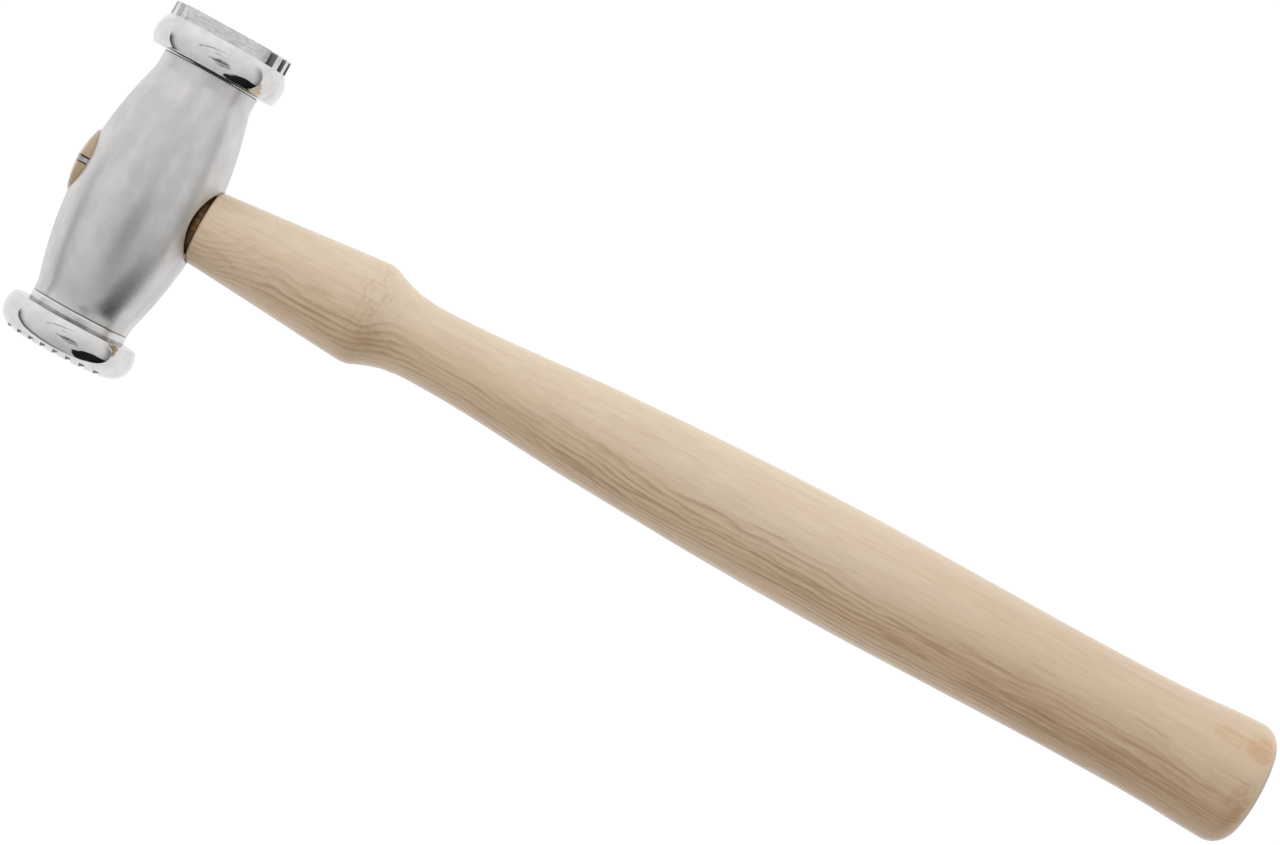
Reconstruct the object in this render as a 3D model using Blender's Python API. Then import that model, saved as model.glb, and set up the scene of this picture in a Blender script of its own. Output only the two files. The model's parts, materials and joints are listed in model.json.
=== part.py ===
"""Double-faced texturing hammer with a turned barrel head and a wooden handle.

Five separate pieces, built the way the tool is made:
  head_body     satin steel barrel, bored through for the handle, with a blind
                socket in each end
  grooved_face  polished striking face with deep, widely spaced grooves (+Y end)
  ribbed_face   polished, round-nosed striking face with shallow, closer grooves
                (-Y end)
  handle        turned hardwood: domed tenon with a saw kerf, shoulder, knuckle,
                neck, swelled grip and rounded butt
  eye_wedge     thin steel wedge driven into the kerf

Hammer frame (before it is laid down): X runs along the eye towards the butt,
Y runs along the head towards the grooved face, Z is up. The hammer then lies on
its side: both rims and the butt touch z = 0.
All lengths are written in millimetres and scaled to metres by MM.
"""
import math

import bmesh
import bpy
from mathutils import Matrix, Vector

MM = 0.001

# ---------------------------------------------------------------- dimensions
# Head body (barrel), measured along Y from its middle
BARREL_R = 12.92          # largest radius, at the middle
BARREL_FALL = 0.0068      # radius lost per mm squared away from the middle
NECK_R = 9.52             # short cylindrical neck at each end
NECK_START = 23.2         # where the barrel curve has blended into the neck
BODY_END_GROOVED = 25.60  # end of the body at the grooved face
BODY_END_RIBBED = 24.05   # end of the body at the ribbed face (that face has a collar)
BODY_CHAMFER = 0.20

# Sockets and spigots that hold the two faces
SPIGOT_R = 4.00
SPIGOT_LEN = 7.00
SOCKET_CLEAR = 0.30
FIT_GAP = 0.30            # gap between pieces that touch

# Rims of the two faces
RIM_R = 13.04             # largest radius of the rim
RIM_BACK = 25.90          # flat back of the rim, from the middle of the body
RIM_CREST = 28.50         # where the rim is widest
RIM_ARC_IN = 4.90         # profile radius behind the crest
RIM_ARC_OUT = 5.20        # profile radius in front of the crest (grooved face)
NOSE_R = 4.00             # the ribbed face rounds over from its crest: run inwards
STUB_R = 11.88            # radius of the raised striking face (grooved face)
STUB_CHAMFER = 0.15
GROOVED_END = 34.42       # striking plane of the grooved face
RIBBED_END = 32.50        # striking plane of the ribbed face

# Groove patterns
GROOVED_PITCH = 2.92      # spacing of the deep grooves, which run along X
GROOVED_SLOT = 1.45
GROOVED_DEPTH = 2.60
GROOVED_HALF = 9.60       # outermost land ends here; beyond it the face is cut away
RIBBED_PITCH = 2.56       # spacing of the shallow grooves, which run along Z
RIBBED_SLOT = 0.95
RIBBED_DEPTH = 0.85
RIBBED_SHIFT = -0.33      # the whole set of shallow grooves sits this far towards the eye's end

# Eye (round, tapered) and the tenon in it
EYE_Y = 0.50              # at the shoulder the eye sits this far towards the grooved face
EYE_LEAN = 0.36           # and drifts this much further by the tenon's end
EYE_R_BUTT_SIDE = 7.40    # mouth on the handle side
EYE_R_END = 6.60          # mouth on the wedge side
TENON_R_SHOULDER = 6.45
TENON_R_END = 6.30
TENON_EDGE_X = -12.85     # rim of the domed end
TENON_DOME = 1.30         # how far the dome stands out

# Wedge and kerf
WEDGE_THICK = 1.37
WEDGE_TIP = 0.45
WEDGE_LEN = 14.0
WEDGE_HALF_W = 6.05
WEDGE_PROUD = 0.15
WEDGE_AT_X = -10.0        # the wedge is centred on the tenon at this depth

# Handle: distance from the head's axis and full width across Y
SHOULDER_X = 12.10
HANDLE_STATIONS = (
    (12.10, 14.30),       # shoulder
    (28.50, 17.15),       # straight taper
    (44.35, 19.95),
    (45.65, 20.10),       # knuckle
    (46.95, 19.75),
    (49.00, 18.10),
    (51.40, 16.40),
    (53.60, 15.35),
    (58.00, 14.60),       # neck
    (63.00, 14.80),
    (70.00, 15.45),
    (80.00, 16.95),
    (92.00, 18.75),
    (106.0, 20.15),
    (120.0, 21.35),
    (135.0, 22.20),
    (149.0, 22.55),       # fullest part of the grip
    (170.0, 22.20),
    (191.0, 21.80),       # waist
    (205.0, 22.05),
    (214.0, 22.60),
    (222.0, 23.65),
    (226.3, 24.05),       # butt
)
BUTT_X = 231.45           # end of the handle
BUTT_CORNER_Y = 4.2       # how far the rounded corner runs in across the end
BUTT_DOME = 0.80          # bulge of the end inside the corner
# thickness (Z) as a share of the width (Y)
HANDLE_OVAL = ((12.1, 0.96), (45.9, 0.91), (58.0, 0.93), (149.0, 0.86), (231.45, 0.86))
# slow sideways run-out of the handle's centre line
HANDLE_RUN = 208.1
HANDLE_DRIFT = 1.84
HANDLE_BOW = 2.20

HEAD_SEGMENTS = 48
HANDLE_SEGMENTS = 32
EYE_SEGMENTS = 40


# ------------------------------------------------------------------- helpers
def wipe():
    for ob in list(bpy.data.objects):
        bpy.data.objects.remove(ob, do_unlink=True)


def material(name, colour, roughness, metallic):
    mat = bpy.data.materials.new(name)
    mat.use_nodes = True
    bsdf = mat.node_tree.nodes["Principled BSDF"]
    bsdf.inputs["Base Color"].default_value = (*colour, 1.0)
    bsdf.inputs["Roughness"].default_value = roughness
    bsdf.inputs["Metallic"].default_value = metallic
    return mat


def add_object(name, bm, mat=None, smooth_deg=35.0):
    bmesh.ops.scale(bm, vec=(MM, MM, MM), verts=bm.verts)
    mesh = bpy.data.meshes.new(name)
    bm.normal_update()
    bm.to_mesh(mesh)
    bm.free()
    ob = bpy.data.objects.new(name, mesh)
    bpy.context.scene.collection.objects.link(ob)
    if mat is not None:
        mesh.materials.append(mat)
        mesh.shade_smooth()
        mesh.set_sharp_from_angle(angle=math.radians(smooth_deg))
    return ob


def loft(rings):
    """Closed body through rings of equal point count, first and last ring capped.

    The rings advance along the body and each runs counter-clockwise when seen
    from the far end, so the faces point outwards.
    """
    bm = bmesh.new()
    loops = [[bm.verts.new(p) for p in ring] for ring in rings]
    n = len(rings[0])
    for a, b in zip(loops, loops[1:]):
        for i in range(n):
            j = (i + 1) % n
            bm.faces.new((a[i], a[j], b[j], b[i]))
    bm.faces.new(list(reversed(loops[0])))
    bm.faces.new(loops[-1])
    bmesh.ops.recalc_face_normals(bm, faces=bm.faces)
    return bm


def ring_about_y(a, r, n=HEAD_SEGMENTS):
    """Circle of radius r about the Y axis at y = a, with a point at the bottom."""
    pts = []
    for i in range(n):
        ang = 2.0 * math.pi * i / n
        pts.append((r * math.sin(ang), a, -r * math.cos(ang)))
    return pts


def ring_about_x(x, ry, rz, yc, n, zc=0.0):
    """Ellipse in the YZ plane at x, with a point at the bottom."""
    pts = []
    for i in range(n):
        ang = 2.0 * math.pi * i / n
        pts.append((x, yc + ry * math.sin(ang), zc - rz * math.cos(ang)))
    return pts


def box(bm, lo, hi):
    """Add an axis-aligned box from corner lo to corner hi."""
    centre = [(p + q) / 2.0 for p, q in zip(lo, hi)]
    size = [q - p for p, q in zip(lo, hi)]
    mat = Matrix.Translation(Vector(centre)) @ Matrix.Diagonal((*size, 1.0))
    bmesh.ops.create_cube(bm, size=1.0, matrix=mat)


def cut(target, cutter, operation="DIFFERENCE"):
    mod = target.modifiers.new(cutter.name, "BOOLEAN")
    mod.operation = operation
    mod.solver = "EXACT"
    mod.object = cutter
    cutter.hide_render = True
    cutter.display_type = "WIRE"


def hermite(rows, x):
    """Smooth curve through rows of (x, value), with no overshoot between rows."""
    xs = [r[0] for r in rows]
    vs = [r[1] for r in rows]
    if x <= xs[0]:
        return vs[0]
    if x >= xs[-1]:
        return vs[-1]
    slopes = [(vs[i + 1] - vs[i]) / (xs[i + 1] - xs[i]) for i in range(len(xs) - 1)]
    tang = [slopes[0]]
    for i in range(1, len(slopes)):
        a, b = slopes[i - 1], slopes[i]
        tang.append(0.0 if a * b <= 0.0 else 2.0 * a * b / (a + b))
    tang.append(slopes[-1])
    k = max(i for i in range(len(xs) - 1) if xs[i] <= x)
    h = xs[k + 1] - xs[k]
    t = (x - xs[k]) / h
    return ((2 * t ** 3 - 3 * t ** 2 + 1) * vs[k] + (t ** 3 - 2 * t ** 2 + t) * h * tang[k]
            + (-2 * t ** 3 + 3 * t ** 2) * vs[k + 1] + (t ** 3 - t ** 2) * h * tang[k + 1])


# ------------------------------------------------------------------ the head
def barrel_radius(a):
    """Radius of the barrel at a mm from its middle, blended into the neck."""
    a = abs(a)
    curve = BARREL_R - BARREL_FALL * a * a
    blend_from = NECK_START - 2.6
    if a <= blend_from:
        return curve
    if a >= NECK_START:
        return NECK_R
    start = BARREL_R - BARREL_FALL * blend_from * blend_from
    slope = -2.0 * BARREL_FALL * blend_from
    h = NECK_START - blend_from
    t = (a - blend_from) / h
    return ((2 * t ** 3 - 3 * t ** 2 + 1) * start + (t ** 3 - 2 * t ** 2 + t) * h * slope
            + (-2 * t ** 3 + 3 * t ** 2) * NECK_R)


def eye_centre_y(x):
    """Where the eye's axis lies across the head, x mm along the eye."""
    return EYE_Y + EYE_LEAN * (SHOULDER_X - x) / (SHOULDER_X - TENON_EDGE_X)


def build_head_body(mat):
    socket_r = SPIGOT_R + SOCKET_CLEAR
    floor_g = RIM_BACK - SPIGOT_LEN - 0.60
    prof = [(-floor_g, socket_r), (-BODY_END_RIBBED, socket_r),
            (-BODY_END_RIBBED, NECK_R - BODY_CHAMFER), (-BODY_END_RIBBED + BODY_CHAMFER, NECK_R)]
    steps = 16
    for i in range(steps + 1):
        a = -NECK_START + 2.0 * NECK_START * i / steps
        prof.append((a, barrel_radius(a)))
    prof += [(BODY_END_GROOVED - BODY_CHAMFER, NECK_R), (BODY_END_GROOVED, NECK_R - BODY_CHAMFER),
             (BODY_END_GROOVED, socket_r), (floor_g, socket_r)]
    body = add_object("head_body", loft([ring_about_y(a, r) for a, r in prof]), mat, 30.0)

    reach = 16.0
    slope = (EYE_R_BUTT_SIDE - EYE_R_END) / (2.0 * BARREL_R)
    mid = (EYE_R_BUTT_SIDE + EYE_R_END) / 2.0
    rings = [ring_about_x(x, mid + slope * x, mid + slope * x, eye_centre_y(x), EYE_SEGMENTS)
             for x in (-reach, reach)]
    eye = add_object("cut_eye", loft(rings))
    cut(body, eye)
    return body, [eye]


def rim_profile(end, collar_end):
    """(distance from the middle, radius) from the spigot's tip to the striking face."""
    tip = RIM_BACK - SPIGOT_LEN
    seat = RIM_BACK if collar_end is None else collar_end
    prof = [(tip, SPIGOT_R - 0.4), (tip + 0.4, SPIGOT_R), (seat, SPIGOT_R)]
    if collar_end is not None:
        prof += [(seat, NECK_R - 0.15), (seat + 0.15, NECK_R), (RIM_BACK, NECK_R)]
    back_drop = RIM_ARC_IN - math.sqrt(RIM_ARC_IN ** 2 - (RIM_CREST - RIM_BACK - 0.15) ** 2)
    prof.append((RIM_BACK, RIM_R - back_drop - 0.15))
    for i in range(4):
        d = (RIM_CREST - RIM_BACK - 0.15) * (1.0 - i / 4.0)
        prof.append((RIM_CREST - d, RIM_R - RIM_ARC_IN + math.sqrt(RIM_ARC_IN ** 2 - d * d)))
    prof.append((RIM_CREST, RIM_R))
    if collar_end is not None:
        # the ribbed face rounds over in a quarter ellipse straight to its plane
        for i in range(1, 8):
            ang = math.pi / 2.0 * i / 7.0
            prof.append((RIM_CREST + (end - RIM_CREST) * math.sin(ang),
                         RIM_R - NOSE_R * (1.0 - math.cos(ang))))
        return prof
    fall = RIM_R - STUB_R
    last = math.sqrt(RIM_ARC_OUT ** 2 - (RIM_ARC_OUT - fall) ** 2)
    for i in range(1, 6):
        d = last * i / 5.0
        prof.append((RIM_CREST + d, RIM_R - RIM_ARC_OUT + math.sqrt(RIM_ARC_OUT ** 2 - d * d)))
    prof += [(end - STUB_CHAMFER, STUB_R), (end, STUB_R - STUB_CHAMFER)]
    return prof


def build_face(name, mat, side, end, collar_end, slots):
    """side is +1 for the +Y end of the head and -1 for the -Y end."""
    prof = rim_profile(end, collar_end)
    face = add_object(name, loft([ring_about_y(side * a, r) for a, r in prof]), mat, 30.0)
    bm = bmesh.new()
    for lo, hi in slots:
        box(bm, lo, hi)
    cutter = add_object("cut_" + name, bm)
    cut(face, cutter)
    return face, [cutter]


def grooved_slots():
    floor = GROOVED_END - GROOVED_DEPTH
    top = GROOVED_END + 1.0
    half = GROOVED_SLOT / 2.0
    slots = []
    for k in (-2.5, -1.5, -0.5, 0.5, 1.5, 2.5):
        z = k * GROOVED_PITCH
        slots.append(((-14.0, floor, z - half), (14.0, top, z + half)))
    slots.append(((-14.0, floor, GROOVED_HALF), (14.0, top, 14.0)))
    slots.append(((-14.0, floor, -14.0), (14.0, top, -GROOVED_HALF)))
    return slots


def ribbed_slots():
    floor = RIBBED_END - RIBBED_DEPTH
    top = RIBBED_END + 1.0
    half = RIBBED_SLOT / 2.0
    slots = []
    for k in (-3.5, -2.5, -1.5, -0.5, 0.5, 1.5, 2.5, 3.5):
        x = k * RIBBED_PITCH + RIBBED_SHIFT
        slots.append(((x - half, -top, -14.0), (x + half, -floor, 14.0)))
    return slots


# ---------------------------------------------------------------- the handle
def handle_centre_y(x):
    if x <= SHOULDER_X:
        return eye_centre_y(x)
    u = (x - SHOULDER_X) / HANDLE_RUN
    return EYE_Y + HANDLE_DRIFT * u + HANDLE_BOW * u * (1.0 - u) ** 2


def handle_oval(x):
    rows = HANDLE_OVAL
    for (xa, va), (xb, vb) in zip(rows, rows[1:]):
        if x <= xb:
            t = max(0.0, (x - xa) / (xb - xa))
            return va + (vb - va) * t
    return rows[-1][1]


def dome_rings(x_edge, r_edge, height, steps):
    """Rings (x, radius) of a shallow dome, from near its apex to its edge."""
    ball = (r_edge ** 2 + height ** 2) / (2.0 * height)
    full = math.asin(r_edge / ball)
    rows = []
    for i in range(1, steps):
        ang = full * i / steps
        rows.append((x_edge - height + ball * (1.0 - math.cos(ang)), ball * math.sin(ang)))
    return rows


def build_handle(mat):
    rings = []
    for x, r in dome_rings(TENON_EDGE_X, TENON_R_END, TENON_DOME, 4):
        rings.append(ring_about_x(x, r, r, eye_centre_y(x), HANDLE_SEGMENTS))
    rings.append(ring_about_x(TENON_EDGE_X, TENON_R_END, TENON_R_END,
                              eye_centre_y(TENON_EDGE_X), HANDLE_SEGMENTS))
    rings.append(ring_about_x(SHOULDER_X, TENON_R_SHOULDER, TENON_R_SHOULDER, EYE_Y,
                              HANDLE_SEGMENTS))
    stations = [SHOULDER_X]
    for (xa, _), (xb, _) in zip(HANDLE_STATIONS, HANDLE_STATIONS[1:]):
        cuts = 1 if xb - xa < 3.0 else 2
        stations += [xa + (xb - xa) * k / cuts for k in range(1, cuts + 1)]
    for x in stations:
        half = hermite(HANDLE_STATIONS, x) / 2.0
        rings.append(ring_about_x(x, half, half * handle_oval(x), handle_centre_y(x),
                                  HANDLE_SEGMENTS))
    x0, w0 = HANDLE_STATIONS[-1]
    run = BUTT_X - BUTT_DOME - x0
    half = w0 / 2.0
    steps = 6
    for i in range(1, steps + 1):
        ang = math.pi / 2.0 * i / steps
        x = x0 + run * math.sin(ang)
        ry = half - BUTT_CORNER_Y * (1.0 - math.cos(ang))
        rings.append(ring_about_x(x, ry, ry * handle_oval(x), handle_centre_y(x),
                                  HANDLE_SEGMENTS))
    last = half - BUTT_CORNER_Y
    for g in (0.72, 0.38):
        rings.append(ring_about_x(BUTT_X - BUTT_DOME * g * g, last * g,
                                  last * g * handle_oval(BUTT_X), handle_centre_y(BUTT_X),
                                  HANDLE_SEGMENTS))
    handle = add_object("handle", loft(rings), mat, 40.0)

    # the saw kerf that takes the wedge, open at the end and at both sides
    bm = bmesh.new()
    mouth = WEDGE_THICK / 2.0 + FIT_GAP
    root = WEDGE_TIP / 2.0 + FIT_GAP
    x_tip = TENON_EDGE_X - TENON_DOME + WEDGE_LEN + 0.5
    x_out = TENON_EDGE_X - TENON_DOME - 2.0
    grow = (mouth - root) / WEDGE_LEN * 2.0
    mid = eye_centre_y(WEDGE_AT_X)
    loop = [(x_out, mid - mouth - grow), (x_tip, mid - root),
            (x_tip, mid + root), (x_out, mid + mouth + grow)]
    low = [bm.verts.new((x, y, -9.0)) for x, y in loop]
    high = [bm.verts.new((x, y, 9.0)) for x, y in loop]
    bm.faces.new(list(reversed(low)))
    bm.faces.new(high)
    for i in range(4):
        j = (i + 1) % 4
        bm.faces.new((low[i], low[j], high[j], high[i]))
    bmesh.ops.recalc_face_normals(bm, faces=bm.faces)
    kerf = add_object("cut_kerf", bm)
    cut(handle, kerf)
    return handle, [kerf]


def build_wedge(mat):
    """Thin steel wedge: its outer end follows the tenon's dome, a little proud."""
    bm = bmesh.new()
    x_out = TENON_EDGE_X - TENON_DOME - WEDGE_PROUD
    x_tip = TENON_EDGE_X - TENON_DOME + WEDGE_LEN
    ball = (TENON_R_END ** 2 + TENON_DOME ** 2) / (2.0 * TENON_DOME)
    mid = eye_centre_y(WEDGE_AT_X)
    n = 8
    rows = []
    for i in range(n + 1):
        z = -WEDGE_HALF_W + 2.0 * WEDGE_HALF_W * i / n
        rows.append((x_out + ball - math.sqrt(ball ** 2 - z * z), z))
    low, high = [], []
    for x, z in rows:
        low.append(bm.verts.new((x, mid - WEDGE_THICK / 2.0, z)))
        high.append(bm.verts.new((x, mid + WEDGE_THICK / 2.0, z)))
    tip_half = WEDGE_HALF_W - 0.8
    tip_low = [bm.verts.new((x_tip, mid - WEDGE_TIP / 2.0, s * tip_half)) for s in (-1, 1)]
    tip_high = [bm.verts.new((x_tip, mid + WEDGE_TIP / 2.0, s * tip_half)) for s in (-1, 1)]
    bm.faces.new(low + [tip_low[1], tip_low[0]])
    bm.faces.new(list(reversed(high)) + [tip_high[0], tip_high[1]])
    for i in range(n):
        bm.faces.new((low[i], high[i], high[i + 1], low[i + 1]))
    bm.faces.new((low[0], tip_low[0], tip_high[0], high[0]))
    bm.faces.new((low[-1], high[-1], tip_high[1], tip_low[1]))
    bm.faces.new((tip_low[0], tip_low[1], tip_high[1], tip_high[0]))
    bmesh.ops.recalc_face_normals(bm, faces=bm.faces)
    return add_object("eye_wedge", bm, mat, 30.0)


# ------------------------------------------------------------------ assembly
def world_bounds(objects):
    deps = bpy.context.evaluated_depsgraph_get()
    lo = [1e9] * 3
    hi = [-1e9] * 3
    for ob in objects:
        ev = ob.evaluated_get(deps)
        mesh = ev.to_mesh()
        for v in mesh.vertices:
            p = ev.matrix_world @ v.co
            for k in range(3):
                lo[k] = min(lo[k], p[k])
                hi[k] = max(hi[k], p[k])
        ev.to_mesh_clear()
    return lo, hi


def main():
    wipe()
    satin = material("satin_steel", (0.56, 0.55, 0.55), 0.42, 1.0)
    polished_a = material("polished_steel_grooved", (0.78, 0.78, 0.79), 0.08, 1.0)
    polished_b = material("polished_steel_ribbed", (0.78, 0.78, 0.79), 0.08, 1.0)
    wood = material("pale_hardwood", (0.66, 0.50, 0.34), 0.55, 0.0)
    wedge_steel = material("wedge_steel", (0.50, 0.50, 0.50), 0.40, 1.0)

    body, c1 = build_head_body(satin)
    grooved, c2 = build_face("grooved_face", polished_a, 1, GROOVED_END, None, grooved_slots())
    ribbed, c3 = build_face("ribbed_face", polished_b, -1, RIBBED_END,
                            BODY_END_RIBBED + FIT_GAP, ribbed_slots())
    handle, c4 = build_handle(wood)
    wedge = build_wedge(wedge_steel)
    nodes = [body, grooved, ribbed, handle, wedge]

    # lay the hammer on its side: rims and butt on the same plane
    x_butt, w_butt = HANDLE_STATIONS[-1]
    drop = RIM_R - w_butt / 2.0 * handle_oval(x_butt)
    tilt = math.asin(drop / x_butt)
    root = bpy.data.objects.new("hammer", None)
    bpy.context.scene.collection.objects.link(root)
    root.rotation_euler = (0.0, tilt, 0.0)
    for ob in nodes + c1 + c2 + c3 + c4:
        ob.parent = root
    bpy.context.view_layer.update()
    lo, hi = world_bounds(nodes)
    root.location = (-(lo[0] + hi[0]) / 2.0, -(lo[1] + hi[1]) / 2.0, -lo[2])
    bpy.context.view_layer.update()


main()
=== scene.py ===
import json
import math

import bmesh
import bpy
import numpy as np
from mathutils import Matrix, Vector, noise


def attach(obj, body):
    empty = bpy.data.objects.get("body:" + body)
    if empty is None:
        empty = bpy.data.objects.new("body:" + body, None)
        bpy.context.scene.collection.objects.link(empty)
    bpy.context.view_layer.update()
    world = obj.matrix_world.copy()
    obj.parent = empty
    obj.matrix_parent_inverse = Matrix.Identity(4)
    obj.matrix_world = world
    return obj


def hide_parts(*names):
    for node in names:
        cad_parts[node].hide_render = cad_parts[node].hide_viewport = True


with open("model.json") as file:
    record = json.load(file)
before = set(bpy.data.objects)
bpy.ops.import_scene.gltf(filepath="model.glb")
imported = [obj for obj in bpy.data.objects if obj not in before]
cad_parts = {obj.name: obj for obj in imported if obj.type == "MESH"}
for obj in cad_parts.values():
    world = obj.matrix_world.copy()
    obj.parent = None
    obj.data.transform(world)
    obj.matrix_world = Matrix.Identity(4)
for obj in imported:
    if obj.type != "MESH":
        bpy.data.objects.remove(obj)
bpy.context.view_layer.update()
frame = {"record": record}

MM = 0.001

# --------------------------------------------------------------------------
# The hammer's own frame: X along the eye, Y along the head, in millimetres.
# The two striking-face mounts give where the head's axis lies in the row frame.
# --------------------------------------------------------------------------
RECORD = frame["record"]
MOUNTS = {m["name"]: m for m in RECORD["mounts"]}
POS_G = MOUNTS["grooved_striking_face"]["pos_m"]

BARREL_R, BARREL_FALL = 12.92, 0.0068
NECK_R, NECK_START = 9.52, 23.2
BODY_END_GROOVED, BODY_END_RIBBED = 25.60, 24.05
SPIGOT_R, SPIGOT_LEN, SOCKET_CLEAR, FIT_GAP = 4.00, 7.00, 0.30, 0.30
RIM_R, RIM_BACK, RIM_CREST = 13.04, 25.90, 28.50
RIM_ARC_IN, RIM_ARC_OUT = 4.90, 5.20
STUB_R, NOSE_R = 11.88, 4.00
GROOVED_END, RIBBED_END = 34.42, 32.50
GROOVED_PITCH, GROOVED_SLOT, GROOVED_DEPTH, GROOVED_HALF = 2.92, 1.45, 2.60, 9.60
RIBBED_PITCH, RIBBED_SLOT, RIBBED_DEPTH, RIBBED_SHIFT = 2.56, 0.95, 0.85, -0.33
EYE_Y, EYE_LEAN, EYE_R_BUTT_SIDE, EYE_R_END = 0.50, 0.36, 7.40, 6.60
TENON_EDGE_X, TENON_DOME = -12.85, 1.30
WEDGE_THICK, WEDGE_TIP, WEDGE_LEN, WEDGE_HALF_W = 1.37, 0.45, 14.0, 6.05
SHOULDER_X = 12.10
HANDLE_STATIONS = (
    (12.10, 14.30), (28.50, 17.15), (44.35, 19.95), (45.65, 20.10), (46.95, 19.75),
    (49.00, 18.10), (51.40, 16.40), (53.60, 15.35), (58.00, 14.60), (63.00, 14.80),
    (70.00, 15.45), (80.00, 16.95), (92.00, 18.75), (106.0, 20.15), (120.0, 21.35),
    (135.0, 22.20), (149.0, 22.55), (170.0, 22.20), (191.0, 21.80), (205.0, 22.05),
    (214.0, 22.60), (222.0, 23.65), (226.3, 24.05))
BUTT_X, BUTT_CORNER_Y, BUTT_DOME = 231.45, 4.2, 0.80
HANDLE_OVAL = ((12.1, 0.96), (45.9, 0.91), (58.0, 0.93), (149.0, 0.86), (231.45, 0.86))
HANDLE_RUN, HANDLE_DRIFT, HANDLE_BOW = 208.1, 1.84, 2.20
WEDGE_AT_X = -10.0


def eye_centre_y(x):
    return EYE_Y + EYE_LEAN * (SHOULDER_X - x) / (SHOULDER_X - TENON_EDGE_X)


def oval(x):
    for (xa, va), (xb, vb) in zip(HANDLE_OVAL, HANDLE_OVAL[1:]):
        if x <= xb:
            return va + (vb - va) * max(0.0, (x - xa) / (xb - xa))
    return HANDLE_OVAL[-1][1]


TILT = math.asin((RIM_R - HANDLE_STATIONS[-1][1] / 2.0 * oval(226.3)) / HANDLE_STATIONS[-1][0])
PLACE = (Matrix.Translation((POS_G[0], POS_G[1] - GROOVED_END * MM, POS_G[2]))
         @ Matrix.Rotation(TILT, 4, "Y"))


# --------------------------------------------------------------------------
# mesh helpers (points in millimetres, scaled to metres here)
# --------------------------------------------------------------------------
def piece(name, verts, faces, sharp_deg=32.0):
    mesh = bpy.data.meshes.new(name)
    pts = np.asarray(verts, dtype=np.float64) * MM
    mesh.from_pydata(pts.tolist(), [], [tuple(int(i) for i in f) for f in faces])
    mesh.validate()
    bm = bmesh.new()
    bm.from_mesh(mesh)
    bmesh.ops.recalc_face_normals(bm, faces=bm.faces)
    bm.to_mesh(mesh)
    bm.free()
    mesh.shade_smooth()
    mesh.set_sharp_from_angle(angle=math.radians(sharp_deg))
    ob = bpy.data.objects.new(name, mesh)
    bpy.context.scene.collection.objects.link(ob)
    ob.matrix_world = PLACE
    return ob


def ring_faces(start_a, start_b, n):
    return [(start_a + i, start_a + (i + 1) % n, start_b + (i + 1) % n, start_b + i)
            for i in range(n)]


def lathe_arrays(prof, n):
    ang = 2.0 * math.pi * np.arange(n) / n
    rings = [np.stack([r * np.cos(ang), np.full(n, a), r * np.sin(ang)], 1) for a, r in prof]
    verts = np.concatenate(rings)
    faces = []
    for k in range(len(prof) - 1):
        faces += ring_faces(k * n, (k + 1) * n, n)
    faces.append(tuple(range(n)))
    faces.append(tuple(range((len(prof) - 1) * n, len(prof) * n)))
    return verts, faces


def apply_booleans(ob, cutters, operation):
    for c in cutters:
        mod = ob.modifiers.new(c.name, "BOOLEAN")
        mod.operation = operation
        mod.solver = "EXACT"
        mod.object = c
    bpy.context.view_layer.update()
    deps = bpy.context.evaluated_depsgraph_get()
    mesh = bpy.data.meshes.new_from_object(ob.evaluated_get(deps))
    old = ob.data
    ob.modifiers.clear()
    ob.data = mesh
    bpy.data.meshes.remove(old)
    for c in cutters:
        cm = c.data
        bpy.data.objects.remove(c, do_unlink=True)
        bpy.data.meshes.remove(cm)
    mesh.shade_smooth()
    mesh.set_sharp_from_angle(angle=math.radians(32.0))
    return ob


def hermite(rows, x):
    xs = [r[0] for r in rows]
    vs = [r[1] for r in rows]
    if x <= xs[0]:
        return vs[0]
    if x >= xs[-1]:
        return vs[-1]
    slopes = [(vs[i + 1] - vs[i]) / (xs[i + 1] - xs[i]) for i in range(len(xs) - 1)]
    tang = [slopes[0]]
    for i in range(1, len(slopes)):
        a, b = slopes[i - 1], slopes[i]
        tang.append(0.0 if a * b <= 0.0 else 2.0 * a * b / (a + b))
    tang.append(slopes[-1])
    k = max(i for i in range(len(xs) - 1) if xs[i] <= x)
    h = xs[k + 1] - xs[k]
    t = (x - xs[k]) / h
    return ((2 * t ** 3 - 3 * t ** 2 + 1) * vs[k] + (t ** 3 - 2 * t ** 2 + t) * h * tang[k]
            + (-2 * t ** 3 + 3 * t ** 2) * vs[k + 1] + (t ** 3 - t ** 2) * h * tang[k + 1])


# --------------------------------------------------------------------------
# head body: turned barrel with a tapered eye whose edges are softly broken
# --------------------------------------------------------------------------
def barrel_radius(a):
    a = abs(a)
    blend_from = NECK_START - 2.6
    if a <= blend_from:
        return BARREL_R - BARREL_FALL * a * a
    if a >= NECK_START:
        return NECK_R
    start = BARREL_R - BARREL_FALL * blend_from * blend_from
    slope = -2.0 * BARREL_FALL * blend_from
    h = NECK_START - blend_from
    t = (a - blend_from) / h
    return ((2 * t ** 3 - 3 * t ** 2 + 1) * start + (t ** 3 - 2 * t ** 2 + t) * h * slope
            + (-2 * t ** 3 + 3 * t ** 2) * NECK_R)


def surface_x(y, z):
    return math.sqrt(max(barrel_radius(y) ** 2 - z * z, 0.0))


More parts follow.
